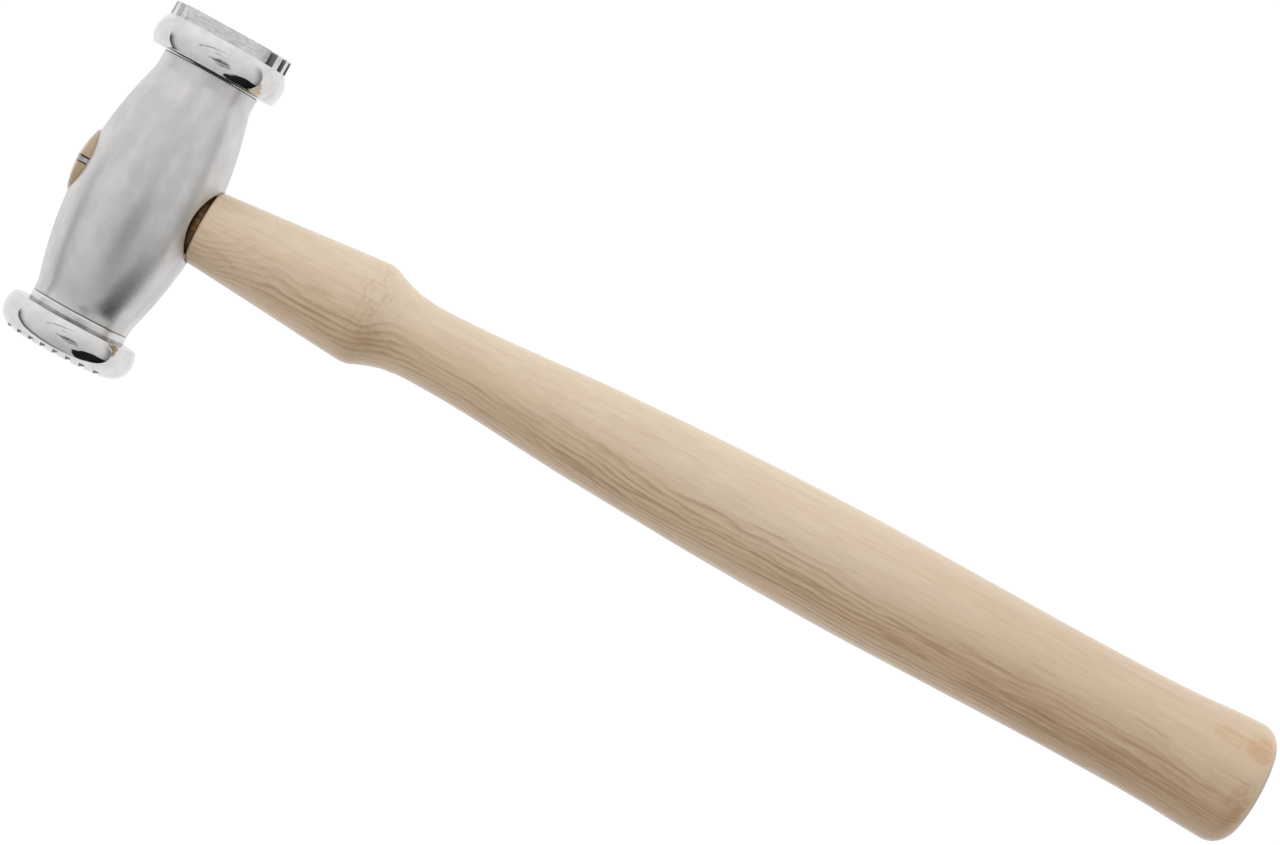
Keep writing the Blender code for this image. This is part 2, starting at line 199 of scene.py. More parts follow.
def build_body():
    n = 192                      # points round the barrel
    quarter = n // 4             # the eye's patch spans a quarter turn on each side
    span = 10.0                  # and this far either side of the eye's axis
    m = quarter
    ang = 2.0 * math.pi * (np.arange(n) - quarter / 2.0) / n
    socket = SPIGOT_R + SOCKET_CLEAR
    floor_s = RIM_BACK - SPIGOT_LEN - 0.60

    def end_rings(end):
        rows = []
        c = 0.22
        for k in range(5):
            t = math.pi / 2.0 * k / 4.0
            rows.append((end - c + c * math.cos(t), NECK_R - c + c * math.sin(t)))
        return rows              # from the end face inwards

    y_low = [-BODY_END_RIBBED + 0.3 + (EYE_Y - span + BODY_END_RIBBED - 0.3) * i / 36.0
             for i in range(36)]
    y_mid = [EYE_Y - span + 2.0 * span * i / m for i in range(m + 1)]
    y_top = [EYE_Y + span + (BODY_END_GROOVED - 0.3 - EYE_Y - span) * i / 38.0
             for i in range(1, 39)]
    rows = [(-floor_s, socket), (-BODY_END_RIBBED, socket)]
    rows += [(-a, r) for a, r in end_rings(BODY_END_RIBBED)]
    first_body = len(rows)
    rows += [(y, barrel_radius(y)) for y in y_low]
    mid_start = len(rows)
    rows += [(y, barrel_radius(y)) for y in y_mid]
    mid_end = len(rows) - 1
    rows += [(y, barrel_radius(y)) for y in y_top]
    rows += list(reversed(end_rings(BODY_END_GROOVED)))
    rows += [(BODY_END_GROOVED, socket), (floor_s, socket)]
    del first_body

    verts = []
    for a, r in rows:
        for t in ang:
            verts.append((r * math.cos(t), a, r * math.sin(t)))
    faces = [tuple(range(n)), tuple(range((len(rows) - 1) * n, len(rows) * n))]
    # columns 0..quarter face +X, columns n/2..n/2+quarter face -X
    for k in range(len(rows) - 1):
        for i in range(n):
            inside = mid_start <= k < mid_end
            if inside and (i < quarter or n // 2 <= i < n // 2 + quarter):
                continue
            j = (i + 1) % n
            faces.append((k * n + i, k * n + j, (k + 1) * n + j, (k + 1) * n + i))

    slope = (EYE_R_BUTT_SIDE - EYE_R_END) / (2.0 * BARREL_R)
    mid_r = (EYE_R_BUTT_SIDE + EYE_R_END) / 2.0

    def boundary(side):
        """Grid points round the patch, anticlockwise in (z, y) as index pairs."""
        base = 0 if side > 0 else n // 2
        cols = [(base + i) % n for i in range(quarter + 1)]
        if side < 0:
            cols = list(reversed(cols))      # so z runs the same way on both sides
        loop = [(mid_start, c) for c in cols[:-1]]
        loop += [(mid_start + k, cols[-1]) for k in range(m)]
        loop += [(mid_end, c) for c in reversed(cols[1:])]
        loop += [(mid_end - k, cols[0]) for k in range(m)]
        return [k * n + c for k, c in loop]

    inner = {}
    for side in (1, -1):
        loop = boundary(side)
        count = len(loop)
        outer_yz = [(verts[i][1], verts[i][2]) for i in loop]
        yc = eye_centre_y(side * BARREL_R)
        lean = EYE_LEAN / (SHOULDER_X - TENON_EDGE_X) * side
        phis = [math.atan2(y - yc, z) for y, z in outer_yz]
        ease = 0.16 if side > 0 else 0.12     # how far the eye's edge is broken
        edge, away, wall = [], [], []
        for phi in phis:
            cz, cy = math.cos(phi), math.sin(phi)
            x = BARREL_R
            for _ in range(8):
                r = mid_r + slope * side * x
                x = surface_x(yc + r * cy, r * cz)
            p = Vector((side * x, yc + r * cy, r * cz))
            d = 0.02
            q = Vector((side * surface_x(yc + (r + d) * cy, (r + d) * cz),
                        yc + (r + d) * cy, (r + d) * cz))
            edge.append(p)
            away.append((q - p).normalized())
            wall.append(Vector((-side, lean - side * slope * cy,
                                -side * slope * cz)).normalized())
        prev = loop
        steps = 16
        for s in range(1, steps + 1):
            # from the grid boundary in to where the broken edge begins
            t = (s / steps) ** 0.85
            cur = []
            for i, phi in enumerate(phis):
                start = edge[i] + away[i] * ease
                y = outer_yz[i][0] * (1 - t) + start.y * t
                z = outer_yz[i][1] * (1 - t) + start.z * t
                verts.append((side * surface_x(y, z), y, z))
                cur.append(len(verts) - 1)
            for i in range(count):
                j = (i + 1) % count
                faces.append((prev[i], prev[j], cur[j], cur[i]))
            prev = cur
        for s in range(1, 6):
            t = s / 5.0
            cur = []
            for i in range(count):
                a = edge[i] + away[i] * ease
                b = edge[i] + wall[i] * ease
                p = a * (1 - t) ** 2 + edge[i] * (2 * t * (1 - t)) + b * t * t
                verts.append(tuple(p))
                cur.append(len(verts) - 1)
            for i in range(count):
                j = (i + 1) % count
                faces.append((prev[i], prev[j], cur[j], cur[i]))
            prev = cur
        inner[side] = prev
    # the bore between the two mouths
    a_loop, b_loop = inner[1], inner[-1]
    count = len(a_loop)
    prev = a_loop
    for s in range(1, 12):
        t = s / 12.0
        cur = []
        for i in range(count):
            p = Vector(verts[a_loop[i]]) * (1 - t) + Vector(verts[b_loop[i]]) * t
            verts.append(tuple(p))
            cur.append(len(verts) - 1)
        for i in range(count):
            j = (i + 1) % count
            faces.append((prev[i], prev[j], cur[j], cur[i]))
        prev = cur
    for i in range(count):
        j = (i + 1) % count
        faces.append((prev[i], prev[j], b_loop[j], b_loop[i]))
    return piece("barrel_body", verts, faces)


# --------------------------------------------------------------------------
# striking faces
# --------------------------------------------------------------------------
def rim_rows(floor, collar_end):
    tip = RIM_BACK - SPIGOT_LEN
    seat = RIM_BACK if collar_end is None else collar_end
    rows = [(tip, SPIGOT_R - 0.4), (tip + 0.4, SPIGOT_R), (seat, SPIGOT_R)]
    if collar_end is not None:
        rows += [(seat, NECK_R - 0.22), (seat + 0.06, NECK_R - 0.08), (seat + 0.22, NECK_R)]
        rows += [(seat + 0.22 + (RIM_BACK - 0.35 - seat) * k / 5.0, NECK_R) for k in range(1, 6)]
        for k in range(1, 5):          # small fillet where the collar meets the rim
            t = math.pi / 2.0 * k / 4.0
            rows.append((RIM_BACK - 0.13 + 0.13 * math.sin(t), NECK_R + 0.13 * (1 - math.cos(t))))
    c = 0.16
    d0 = RIM_CREST - RIM_BACK - c
    r_edge = RIM_R - RIM_ARC_IN + math.sqrt(RIM_ARC_IN ** 2 - d0 ** 2)
    for k in range(4):                 # crisp, barely rounded back edge
        t = math.pi / 2.0 * k / 4.0
        rows.append((RIM_BACK + c - c * math.cos(t), r_edge - c + c * math.sin(t)))
    for i in range(16):
        d = d0 * (1.0 - i / 16.0)
        rows.append((RIM_CREST - d, RIM_R - RIM_ARC_IN + math.sqrt(RIM_ARC_IN ** 2 - d * d)))
    rows.append((RIM_CREST, RIM_R))
    if collar_end is not None:         # rounded nose straight to the striking plane
        for i in range(1, 33):
            ang = math.pi / 2.0 * i / 32.0
            rows.append((RIM_CREST + (RIBBED_END - RIM_CREST) * math.sin(ang),
                         RIM_R - NOSE_R * (1.0 - math.cos(ang))))
        return rows
    fall = RIM_R - STUB_R - 0.02
    last = math.sqrt(RIM_ARC_OUT ** 2 - (RIM_ARC_OUT - fall) ** 2)
    for i in range(1, 21):
        d = last * i / 20.0
        rows.append((RIM_CREST + d, RIM_R - RIM_ARC_OUT + math.sqrt(RIM_ARC_OUT ** 2 - d * d)))
    top = RIM_CREST + last
    rows.append((top + 0.03, STUB_R + 0.02))
    rows.append((floor, STUB_R + 0.02))
    return rows


def land_outline(lo, hi, r, steps):
    """Outline of one land across the disc, in (along, across) coordinates."""
    pts = []
    for k in range(steps + 1):
        w = lo + (hi - lo) * k / steps
        pts.append((math.sqrt(max(r * r - w * w, 0.0)), w))
    for k in range(steps + 1):
        w = hi - (hi - lo) * k / steps
        pts.append((-math.sqrt(max(r * r - w * w, 0.0)), w))
    return pts


def build_land(name, side, along_x, lo, hi, floor, end, seed):
    """A raised bar between two grooves, its top edges slightly rounded."""
    steps = max(6, int((hi - lo) / 0.14))
    c = 0.14
    levels = [(floor - 0.08, 0.0), (floor + 0.02, 0.0), (end - c, 0.0)]
    for k in range(1, 5):
        t = math.pi / 2.0 * k / 4.0
        levels.append((end - c + c * math.sin(t), c - c * math.cos(t)))
    verts, faces = [], []
    n = None
    for a, inset in levels:
        pts = land_outline(lo + inset, hi - inset, STUB_R - inset, steps)
        n = len(pts)
        for p, q in pts:
            x, z = (p, q) if along_x else (q, p)
            verts.append((x, side * a, z))
    for k in range(len(levels) - 1):
        faces += ring_faces(k * n, (k + 1) * n, n)
    faces.append(tuple(range(n)))
    faces.append(tuple(range((len(levels) - 1) * n, len(levels) * n)))
    return piece(name, verts, faces)


def build_grooved_face():
    floor = GROOVED_END - GROOVED_DEPTH
    verts, faces = lathe_arrays(rim_rows(floor, None), 256)
    disc = piece("grooved_face_piece", verts, faces)
    lands = [build_land("grooved_land%d" % i, 1, True, lo, hi, floor, GROOVED_END, i)
             for i, (lo, hi) in enumerate(land_edges(GROOVED_PITCH, GROOVED_SLOT, 6,
                                                     GROOVED_HALF))]
    return apply_booleans(disc, lands, "UNION")


def build_ribbed_face():
    """Round-nosed face; each shallow groove has slightly broken edges."""
    rows = rim_rows(RIBBED_END, BODY_END_RIBBED + 0.012)    # collar pressed up to the body
    verts, faces = lathe_arrays([(-a, r) for a, r in rows], 256)
    disc = piece("ribbed_face_piece", verts, faces)
    cutters = []
    floor = RIBBED_END - RIBBED_DEPTH
    half = RIBBED_SLOT / 2.0
    for k in range(8):
        x = (k - 3.5) * RIBBED_PITCH + RIBBED_SHIFT
        side_pts = [(half - 0.10, floor), (half - 0.03, floor + 0.03), (half, floor + 0.10),
                    (half, RIBBED_END - 0.12)]
        for j in range(1, 5):
            t = math.pi / 2.0 * j / 4.0
            side_pts.append((half + 0.12 * (1.0 - math.cos(t)),
                             RIBBED_END - 0.12 + 0.12 * math.sin(t)))
        side_pts.append((half + 0.12, RIBBED_END + 1.0))
        outline = [(x + w, -a) for w, a in side_pts] + [(x - w, -a) for w, a in reversed(side_pts)]
        n = len(outline)
        cv = [(px, py, z) for z in (-14.0, 14.0) for px, py in outline]
        cf = ring_faces(0, n, n) + [tuple(range(n)), tuple(range(n, 2 * n))]
        cutters.append(piece("ribbed_cut%d" % k, cv, cf))
    return apply_booleans(disc, cutters, "DIFFERENCE")


def land_edges(pitch, slot, count, outer):
    """Lands between `count` grooves spaced symmetrically, out to `outer`."""
    centres = [(k - (count - 1) / 2.0) * pitch for k in range(count)]
    cuts = [(c - slot / 2.0, c + slot / 2.0) for c in centres]
    edges = [(-outer, cuts[0][0])]
    edges += [(cuts[i][1], cuts[i + 1][0]) for i in range(count - 1)]
    edges.append((cuts[-1][1], outer))
    return edges


# --------------------------------------------------------------------------
# handle
# --------------------------------------------------------------------------
def centre_y(x):
    if x <= SHOULDER_X:
        return eye_centre_y(x)
    u = (x - SHOULDER_X) / HANDLE_RUN
    return EYE_Y + HANDLE_DRIFT * u + HANDLE_BOW * u * (1.0 - u) ** 2


def build_handle():
    n = 128
    ang = 2.0 * math.pi * np.arange(n) / n
    ca, sa = np.cos(ang), np.sin(ang)
    rings = []                   # (x, ry, rz, yc, wobble)
    r_end, r_sh = 6.47, 6.02
    ball = (r_end ** 2 + TENON_DOME ** 2) / (2.0 * TENON_DOME)
    full = math.asin(r_end / ball)
    edge = TENON_EDGE_X + 0.10
    for i in range(1, 15):       # domed end, its rim worn round
        a = full * 0.97 * i / 14.0
        r = ball * math.sin(a)
        x = edge - TENON_DOME + ball * (1.0 - math.cos(a))
        rings.append((x, r, r, centre_y(x), 0.25))
    r_dome = ball * math.sin(full * 0.97)
    for k in range(1, 5):
        t = math.pi / 2.0 * k / 4.0
        r = r_dome + (r_end - r_dome) * math.sin(t)
        rings.append((edge + 0.32 * math.sin(t), r, r, centre_y(edge), 0.2))
    for i in range(1, 41):       # the tenon is relieved a little towards the shoulder
        x = edge + 0.32 + (SHOULDER_X - 0.05 - edge - 0.32) * i / 40.0
        g = min(1.0, max(0.0, (x - 3.0) / 5.0))
        r = r_end + (r_sh - r_end) * g * g * (3.0 - 2.0 * g)
        rings.append((x, r, r, centre_y(x), 0.15))
    w0 = HANDLE_STATIONS[0][1] / 2.0
    z0 = w0 * oval(SHOULDER_X)
    for g, dx in ((0.35, 0.0), (0.75, 0.0)):
        rings.append((SHOULDER_X + dx, r_sh + (w0 - 0.22 - r_sh) * g, r_sh + (z0 - 0.22 - r_sh) * g,
                      EYE_Y, 0.6))
    for k in range(5):           # shoulder's edge, just broken
        t = math.pi / 2.0 * k / 4.0
        rings.append((SHOULDER_X + 0.22 * (1.0 - math.cos(t)), w0 - 0.22 + 0.22 * math.sin(t),
                      z0 - 0.22 + 0.22 * math.sin(t), EYE_Y, 0.6))
    x = SHOULDER_X + 0.22
    x_last = HANDLE_STATIONS[-1][0]
    xs = [x + (x_last - x) * i / 420.0 for i in range(1, 421)]
    for x in xs:
        h = hermite(HANDLE_STATIONS, x) / 2.0
        rings.append((x, h, h * oval(x), centre_y(x), 1.0))
    run = BUTT_X - BUTT_DOME - x_last    # rounded corner, then a shallow dome
    half = HANDLE_STATIONS[-1][1] / 2.0
    for i in range(1, 25):
        t = math.pi / 2.0 * i / 24.0
        x = x_last + run * math.sin(t)
        ry = half - BUTT_CORNER_Y * (1.0 - math.cos(t))
        rings.append((x, ry, ry * oval(x), centre_y(x), 1.0))
    last = half - BUTT_CORNER_Y
    for i in range(1, 9):
        g = 1.0 - i / 9.0
        rings.append((BUTT_X - BUTT_DOME * g * g, last * g, last * g * oval(BUTT_X),
                      centre_y(BUTT_X), 0.6))
    verts = []
    for x, ry, rz, yc, wob in rings:
        for i in range(n):
            d = 0.0
            if x > SHOULDER_X - 0.01:
                # slow hand-turned unevenness and a slight flatness of the sanding
                v = Vector((x * 0.045, ca[i] * 0.9, sa[i] * 0.9))
                d = 0.045 * noise.noise(v) + 0.018 * noise.noise(
                    Vector((x * 0.16, ca[i] * 2.4 + 7.0, sa[i] * 2.4)))
            fade = min(1.0, max(0.0, ry / 6.0)) * wob
            verts.append((x, yc + (ry + d * fade) * ca[i], (rz + d * fade) * sa[i]))
    faces = []
    for k in range(len(rings) - 1):
        faces += ring_faces(k * n, (k + 1) * n, n)
    faces.append(tuple(range(n)))
    faces.append(tuple(range((len(rings) - 1) * n, len(rings) * n)))
    handle = piece("turned_handle", verts, faces, 40.0)

    # saw kerf for the wedge
    mouth = WEDGE_THICK / 2.0 + 0.16
    root = WEDGE_TIP / 2.0 + 0.10
    x_tip = TENON_EDGE_X - TENON_DOME + WEDGE_LEN + 0.4    # kerf reaches past the wedge
    x_out = TENON_EDGE_X - TENON_DOME - 2.0
    mid = eye_centre_y(WEDGE_AT_X)
    cv, cf = [], []
    cols = 20
    for zk in (-9.0, 9.0):
        for s in (-1, 1):
            for i in range(cols + 1):
                t = i / cols
                x = x_out + (x_tip - x_out) * t
                w = mouth + (root - mouth) * t
                w += 0.035 * noise.noise(Vector((x * 1.7, s * 3.0, zk)))
                cv.append((x, mid + s * w, zk))
    q = cols + 1
    for b in (0, 2 * q):
        cf.append(tuple(list(range(b, b + q)) + list(reversed(range(b + q, b + 2 * q)))))
    for s in (0, q):
        for i in range(cols):
            cf.append((s + i, s + i + 1, 2 * q + s + i + 1, 2 * q + s + i))
    cf.append((0, q, 3 * q, 2 * q))
    cf.append((cols, q + cols, 3 * q + cols, 2 * q + cols))
    kerf = piece("kerf_cut", cv, cf)
    return apply_booleans(handle, [kerf], "DIFFERENCE")


def build_wedge():
    """Steel wedge: tapered plate whose driven end is slightly burred over."""
    ball = (6.47 ** 2 + TENON_DOME ** 2) / (2.0 * TENON_DOME)
    x0 = TENON_EDGE_X + 0.10 - TENON_DOME - 0.06
    mid = eye_centre_y(WEDGE_AT_X)
    rows = []
    for k, (back, grow) in enumerate(((0.0, -0.16), (0.03, -0.07), (0.10, 0.0), (0.22, 0.05),
                                      (0.42, 0.05), (0.7, 0.01), (1.1, 0.0))):
        rows.append((back, grow))
    n_z = 48
    loops = []
    for back, grow in rows:
        loop = []
        hw = WEDGE_HALF_W + grow
        ht = WEDGE_THICK / 2.0 + grow * 0.8
        for s in (-1, 1):
            zs = [-hw + 2 * hw * i / n_z for i in range(n_z + 1)]
            if s > 0:
                zs = list(reversed(zs))
            for z in zs:
                corner = max(0.0, (abs(z) / hw - 0.94) / 0.06)
                y = mid + s * ht * (1.0 - 0.45 * corner * corner)
                x = x0 + back + ball - math.sqrt(ball ** 2 - z * z)
                loop.append((x, y + 0.012 * noise.noise(Vector((z * 1.3, s * 4.0, back * 6.0))), z))
        loops.append(loop)
    for i in range(1, 13):
        t = i / 12.0
        loop = []
        hw = WEDGE_HALF_W - 0.8 * t
        ht = WEDGE_THICK / 2.0 * (1 - t) + WEDGE_TIP / 2.0 * t
        for s in (-1, 1):
            zs = [-hw + 2 * hw * i2 / n_z for i2 in range(n_z + 1)]
            if s > 0:
                zs = list(reversed(zs))
            for z in zs:
                corner = max(0.0, (abs(z) / hw - 0.94) / 0.06)
                y = mid + s * ht * (1.0 - 0.45 * corner * corner)
                x = (x0 + 1.1 + (ball - math.sqrt(ball ** 2 - z * z)) * (1 - t)) * 1.0
                x += (TENON_EDGE_X - TENON_DOME + WEDGE_LEN - (x0 + 1.1)) * t
                loop.append((x, y, z))
        loops.append(loop)
    n = len(loops[0])
    verts = [p for loop in loops for p in loop]
    faces = []
    for k in range(len(loops) - 1):
        faces += ring_faces(k * n, (k + 1) * n, n)
    faces.append(tuple(range(n)))
    faces.append(tuple(range((len(loops) - 1) * n, len(loops) * n)))
    return piece("steel_wedge", verts, faces)


# --------------------------------------------------------------------------
# materials: every pattern lives in the hammer's own frame, in millimetres
# --------------------------------------------------------------------------
class Nodes:
    def __init__(self, tree, coord):
        self.t = tree
        co = tree.nodes.new("ShaderNodeTexCoord").outputs[coord]
        self.co = co

    def link(self, a, b):
        self.t.links.new(a, b)

    def vec(self, scale=(1, 1, 1), loc=(0, 0, 0), rot=(0, 0, 0), src=None):
        m = self.t.nodes.new("ShaderNodeMapping")
        m.inputs["Scale"].default_value = scale
        m.inputs["Rotation"].default_value = rot
        m.inputs["Location"].default_value = loc
        self.link(src or self.co, m.inputs["Vector"])
        return m.outputs["Vector"]

    def noise(self, vec, detail=3.0, rough=0.5, distort=0.0):
        nd = self.t.nodes.new("ShaderNodeTexNoise")
        nd.inputs["Scale"].default_value = 1.0
        nd.inputs["Detail"].default_value = detail
        nd.inputs["Roughness"].default_value = rough
        nd.inputs["Distortion"].default_value = distort
        self.link(vec, nd.inputs["Vector"])
        return nd.outputs["Fac"]

    def math(self, op, a, b=None, c=None, clamp=False):
        nd = self.t.nodes.new("ShaderNodeMath")
        nd.operation = op
        nd.use_clamp = clamp
        for i, v in enumerate((a, b, c)):
            if v is None:
                continue
            if isinstance(v, (int, float)):
                nd.inputs[i].default_value = v
            else:
                self.link(v, nd.inputs[i])
        return nd.outputs[0]

    def add(self, *terms):
        out = terms[0]
        for t in terms[1:]:
            out = self.math("ADD", out, t)
        return out

    def mul(self, *terms):
        out = terms[0]
        for t in terms[1:]:
            out = self.math("MULTIPLY", out, t)
        return out

    def ramp(self, fac, lo, hi, out_lo=0.0, out_hi=1.0, smooth=True):
        nd = self.t.nodes.new("ShaderNodeMapRange")
        nd.interpolation_type = "SMOOTHSTEP" if smooth else "LINEAR"
        if lo > hi:
            lo, hi, out_lo, out_hi = hi, lo, out_hi, out_lo
        nd.inputs["From Min"].default_value = lo
        nd.inputs["From Max"].default_value = hi
        nd.inputs["To Min"].default_value = out_lo
        nd.inputs["To Max"].default_value = out_hi
        self.link(fac, nd.inputs["Value"])
        return nd.outputs["Result"]

    def near(self, value, centre, half, soft):
        """1 within `half` of `centre`, falling to 0 over `soft`."""
        return self.ramp(self.math("ABSOLUTE", self.math("SUBTRACT", value, centre)),
                         half, half + soft, 1.0, 0.0)

    def mix(self, fac, a, b, blend="MIX"):
        nd = self.t.nodes.new("ShaderNodeMix")
        nd.data_type = "RGBA"
        nd.blend_type = blend
        if isinstance(fac, (int, float)):
            nd.inputs[0].default_value = fac
        else:
            self.link(fac, nd.inputs[0])
        for i, v in ((6, a), (7, b)):
            if isinstance(v, tuple):
                nd.inputs[i].default_value = (*v, 1.0)
            else:
                self.link(v, nd.inputs[i])
        return nd.outputs[2]

    def combine(self, x, y, z):
        nd = self.t.nodes.new("ShaderNodeCombineXYZ")
        for i, v in enumerate((x, y, z)):
            if isinstance(v, (int, float)):
                nd.inputs[i].default_value = v
            else:
                self.link(v, nd.inputs[i])
        return nd.outputs[0]

    def dot(self, vec, xyz):
        nd = self.t.nodes.new("ShaderNodeVectorMath")
        nd.operation = "DOT_PRODUCT"
        self.link(vec, nd.inputs[0])
        nd.inputs[1].default_value = xyz
        return nd.outputs["Value"]

    def bump(self, height, distance, strength=1.0, normal=None):
        nd = self.t.nodes.new("ShaderNodeBump")
        nd.inputs["Strength"].default_value = strength
        nd.inputs["Distance"].default_value = distance
        self.link(height, nd.inputs["Height"])
        if normal is not None:
            self.link(normal, nd.inputs["Normal"])
        return nd.outputs["Normal"]

    def xyz(self, vec):
        nd = self.t.nodes.new("ShaderNodeSeparateXYZ")
        self.link(vec, nd.inputs[0])
        return nd.outputs[0], nd.outputs[1], nd.outputs[2]


def new_material(name):
    mat = bpy.data.materials.new(name)
    mat.use_nodes = True
    s = Nodes(mat.node_tree, "Object")
    s.mat = mat
    s.bsdf = mat.node_tree.nodes["Principled BSDF"]
    s.mm = s.vec((1000.0, 1000.0, 1000.0))
    s.x, s.y, s.z = s.xyz(s.mm)
    return s


def satin_steel():
    s = new_material("satin_steel_barrel")
    b = s.bsdf
    b.inputs["Metallic"].default_value = 1.0
    lines = s.noise(s.vec((0.05, 9.0, 0.05), src=s.mm), 2.0, 0.6)      # turned lines
    streak = s.noise(s.vec((0.34, 0.05, 0.34), src=s.mm), 3.0, 0.55)   # long soft bands
    cloud = s.noise(s.vec((0.30, 0.22, 0.30), (4.0, 2.0, 7.0), src=s.mm), 4.0, 0.55)
    grit = s.noise(s.vec((6.0, 6.0, 6.0), src=s.mm), 2.0, 0.6)
    rub = s.noise(s.vec((2.2, 0.28, 2.2), (1.0, 3.0, 2.0), src=s.mm), 3.0, 0.6)
    tone = s.add(s.mul(streak, 0.5), s.mul(cloud, 0.5))
    col = s.mix(s.ramp(tone, 0.34, 0.66), (0.545, 0.535, 0.53), (0.640, 0.628, 0.622))
    col = s.mix(s.mul(s.ramp(grit, 0.45, 0.75), 0.07), col, (0.42, 0.415, 0.41))
    # painted reflection: the middle of the barrel is painted a little greyer, standing in for a dark
    # reflection there
    middle_painted_reflection = s.mul(s.ramp(s.add(s.y, s.mul(s.math("SUBTRACT", cloud, 0.5), 14.0)), 9.0, -3.0),
                   s.ramp(s.math("ABSOLUTE", s.add(s.x, -2.4)), 6.5, 1.0))
    col = s.mix(s.mul(middle_painted_reflection, 0.28), col, (0.46, 0.455, 0.44))
    # painted reflection: a faint dark line along the barrel's -X flank on the ribbed half
    dark_line_painted_reflection = s.mul(s.near(s.x, -11.2, 0.5, 1.6), s.ramp(s.y, -2.0, -9.0), s.ramp(s.z, 0.0, 3.0))
    col = s.mix(s.mul(dark_line_painted_reflection, 0.10), col, (0.25, 0.24, 0.23))
    # painted shade: the body's rounded end darkens where it meets the grooved face
    seam_painted_shade = s.ramp(s.y, 25.20, 25.56)
    col = s.mix(s.mul(seam_painted_shade, 0.30), col, (0.16, 0.155, 0.15))
    s.link(col, b.inputs["Base Color"])
    rough = s.add(s.ramp(tone, 0.34, 0.66, 0.338, 0.278), s.ramp(lines, 0.3, 0.7, -0.010, 0.010),
                  s.ramp(rub, 0.4, 0.7, 0.0, 0.03))
    s.link(rough, b.inputs["Roughness"])
    n1 = s.bump(lines, 0.000008, 0.35)
    n2 = s.bump(grit, 0.000003, 0.3, n1)
    n3 = s.bump(cloud, 0.00012, 0.30, n2)
    s.link(n3, b.inputs["Normal"])
    return s.mat


def polished_steel(name, side):
    s = new_material(name)
    b = s.bsdf
    b.inputs["Metallic"].default_value = 1.0
    off = (3.7 * side, 1.1, 2.3 * side)
    haze = s.noise(s.vec((0.30, 0.30, 0.30), off, src=s.mm), 4.0, 0.6)
    scratch = s.noise(s.vec((0.6, 7.0, 0.6), off, (0.0, 0.0, 0.10), src=s.mm), 2.0, 0.7)
    across = s.noise(s.vec((5.0, 0.5, 5.0), off, (0.3, 0.0, 0.5), src=s.mm), 2.0, 0.7)
    ripple = s.noise(s.vec((0.16, 0.16, 0.16), off, src=s.mm), 2.0, 0.5)
    col = s.mix(s.ramp(haze, 0.32, 0.68), (0.60, 0.595, 0.59), (0.70, 0.695, 0.69))
    # the walls and floors of the grooves are left dull from the cutter, and painted dark as shade
    # inside the grooves
    if side > 0:
        f = s.math("FRACT", s.math("DIVIDE", s.z, GROOVED_PITCH))
        half = GROOVED_SLOT / 2.0 / GROOVED_PITCH
        end, depth = GROOVED_END, GROOVED_DEPTH
        limit = s.mul(s.near(s.z, 0.0, 8.15, 0.02), s.ramp(s.x, -9.0, 3.0, 0.35, 1.0))
    else:
        f = s.math("FRACT", s.math("DIVIDE", s.math("SUBTRACT", s.x, RIBBED_SHIFT), RIBBED_PITCH))
        half = RIBBED_SLOT / 2.0 / RIBBED_PITCH
        end, depth = RIBBED_END, RIBBED_DEPTH
        limit = s.near(s.x, RIBBED_SHIFT, 9.55, 0.02)
    along = s.math("ABSOLUTE", s.y)
    inside = s.mul(limit, s.near(f, 0.5, half + 0.008, 0.012), s.ramp(along, end - 0.10, end - 0.32),
                   s.ramp(along, end - depth - 0.10, end - depth - 0.02))
    # painted shade: the groove walls and floors are painted near black
    col = s.mix(s.mul(inside, 0.86 if side > 0 else 0.75), col, (0.10, 0.098, 0.095))
    # machined, less polished flats on the raised part, with faint cutter marks
    machined = s.mul(s.ramp(along, end - depth + 0.05, end - depth + 0.15),
                     s.math("SUBTRACT", 1.0, inside), 1.0 if side > 0 else 0.0)
    chatter = s.noise(s.vec((0.9, 1.6, 0.9), off, src=s.mm), 3.0, 0.7)
    col = s.mix(s.mul(machined, s.ramp(chatter, 0.42, 0.66), 0.55), col, (0.40, 0.395, 0.39))
    # collar behind the rim: satin, its corner against the rim painted dark as shade
    neck = s.ramp(along, RIM_BACK + 0.005, RIM_BACK - 0.015)
    corner = s.mul(s.ramp(along, RIM_BACK - 0.75, RIM_BACK - 0.35),
                   s.ramp(along, RIM_BACK + 0.03, RIM_BACK + 0.012))
    col = s.mix(s.mul(corner, s.ramp(haze, 0.30, 0.60, 0.90, 0.55) if side < 0 else 0.92), col,
                (0.12, 0.112, 0.108))
    s.link(col, b.inputs["Base Color"])
    rough = s.add(s.ramp(haze, 0.32, 0.75, 0.055, 0.10), s.ramp(scratch, 0.55, 0.75, 0.0, 0.03),
                  s.mul(inside, 0.34), s.mul(neck, 0.20), s.mul(machined, 0.14))
    s.link(rough, b.inputs["Roughness"])
    n1 = s.bump(scratch, 0.0000016, 0.4)
    n2 = s.bump(across, 0.0000016, 0.3, n1)
    n3 = s.bump(ripple, 0.00022, 0.35, n2)
    s.link(n3, b.inputs["Normal"])
    return s.mat


def wedge_steel():
    s = new_material("plain_wedge_steel")
    b = s.bsdf
    b.inputs["Metallic"].default_value = 1.0
    cloud = s.noise(s.vec((1.1, 1.1, 1.1), src=s.mm), 4.0, 0.6)
    sawn = s.noise(s.vec((0.4, 9.0, 1.0), src=s.mm), 2.0, 0.6)
    s.link(s.mix(s.ramp(cloud, 0.35, 0.68), (0.33, 0.32, 0.31), (0.62, 0.61, 0.60)),
           b.inputs["Base Color"])
    s.link(s.ramp(cloud, 0.3, 0.7, 0.30, 0.48), b.inputs["Roughness"])
    s.link(s.bump(sawn, 0.00002, 0.5, s.bump(cloud, 0.00005, 0.5)), b.inputs["Normal"])
    return s.mat


